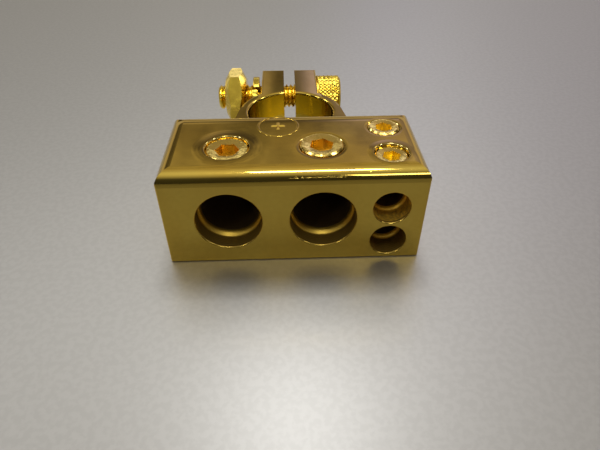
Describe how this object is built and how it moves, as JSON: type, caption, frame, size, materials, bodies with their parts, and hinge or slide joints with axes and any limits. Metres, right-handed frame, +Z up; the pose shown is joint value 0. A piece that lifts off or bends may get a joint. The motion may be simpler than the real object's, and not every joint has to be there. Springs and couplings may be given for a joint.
{
  "type": "battery terminal",
  "caption": "Gold-finished battery terminal: a rounded block with cable bores held by set screws, and a split ring that a cross screw and nut clamp round the battery post.",
  "frame": {"origin": "on the axis of the post bore, level with the base that lies on the battery", "axes": "+X right seen from the cable side, +Y from the cable face towards the clamp screw, +Z up along the post"},
  "size_m": [0.048, 0.0581, 0.0205],
  "materials": {
    "casting": "polished gold plate",
    "set_screws": "polished gold plate",
    "clamp_fasteners": "bright gold plate"
  },
  "bodies": {
    "terminal": {"terminal_body": "casting"},
    "large_set_screw_left": {"large_set_screw_left": "set_screws"},
    "large_set_screw_right": {"large_set_screw_right": "set_screws"},
    "small_set_screw_front": {"small_set_screw_front": "set_screws"},
    "small_set_screw_rear": {"small_set_screw_rear": "set_screws"},
    "clamp_screw": {"clamp_screw": "clamp_fasteners", "spring_washer": "clamp_fasteners"},
    "clamp_nut": {"clamp_nut": "clamp_fasteners"}
  },
  "joints": [
    {"name": "large_left_advance", "type": "slide", "parent": "terminal", "child": "large_set_screw_left", "axis": [0, 0, 1], "range_m": [-0.004, 0.003]},
    {"name": "large_right_advance", "type": "slide", "parent": "terminal", "child": "large_set_screw_right", "axis": [0, 0, 1], "range_m": [-0.0047, 0.0025]},
    {"name": "small_front_advance", "type": "slide", "parent": "terminal", "child": "small_set_screw_front", "axis": [0, 0, 1], "range_m": [-0.003, 0.003]},
    {"name": "small_rear_advance", "type": "slide", "parent": "terminal", "child": "small_set_screw_rear", "axis": [0, 0, 1], "range_m": [-0.0029, 0.008]},
    {"name": "clamp_turn", "type": "hinge", "parent": "terminal", "child": "clamp_screw", "pos_m": [0, 0.0184, 0.0103], "axis": [-1, 0, 0], "range_deg": [-680, 480]},
    {"name": "nut_advance", "type": "slide", "parent": "terminal", "child": "clamp_nut", "axis": [1, 0, 0], "range_m": [-0.0019, 0.00135]}
  ],
  "couplings": [
    {"joint": "nut_advance", "follows": "clamp_turn", "m_per_rad": 0.00015915}
  ]
}
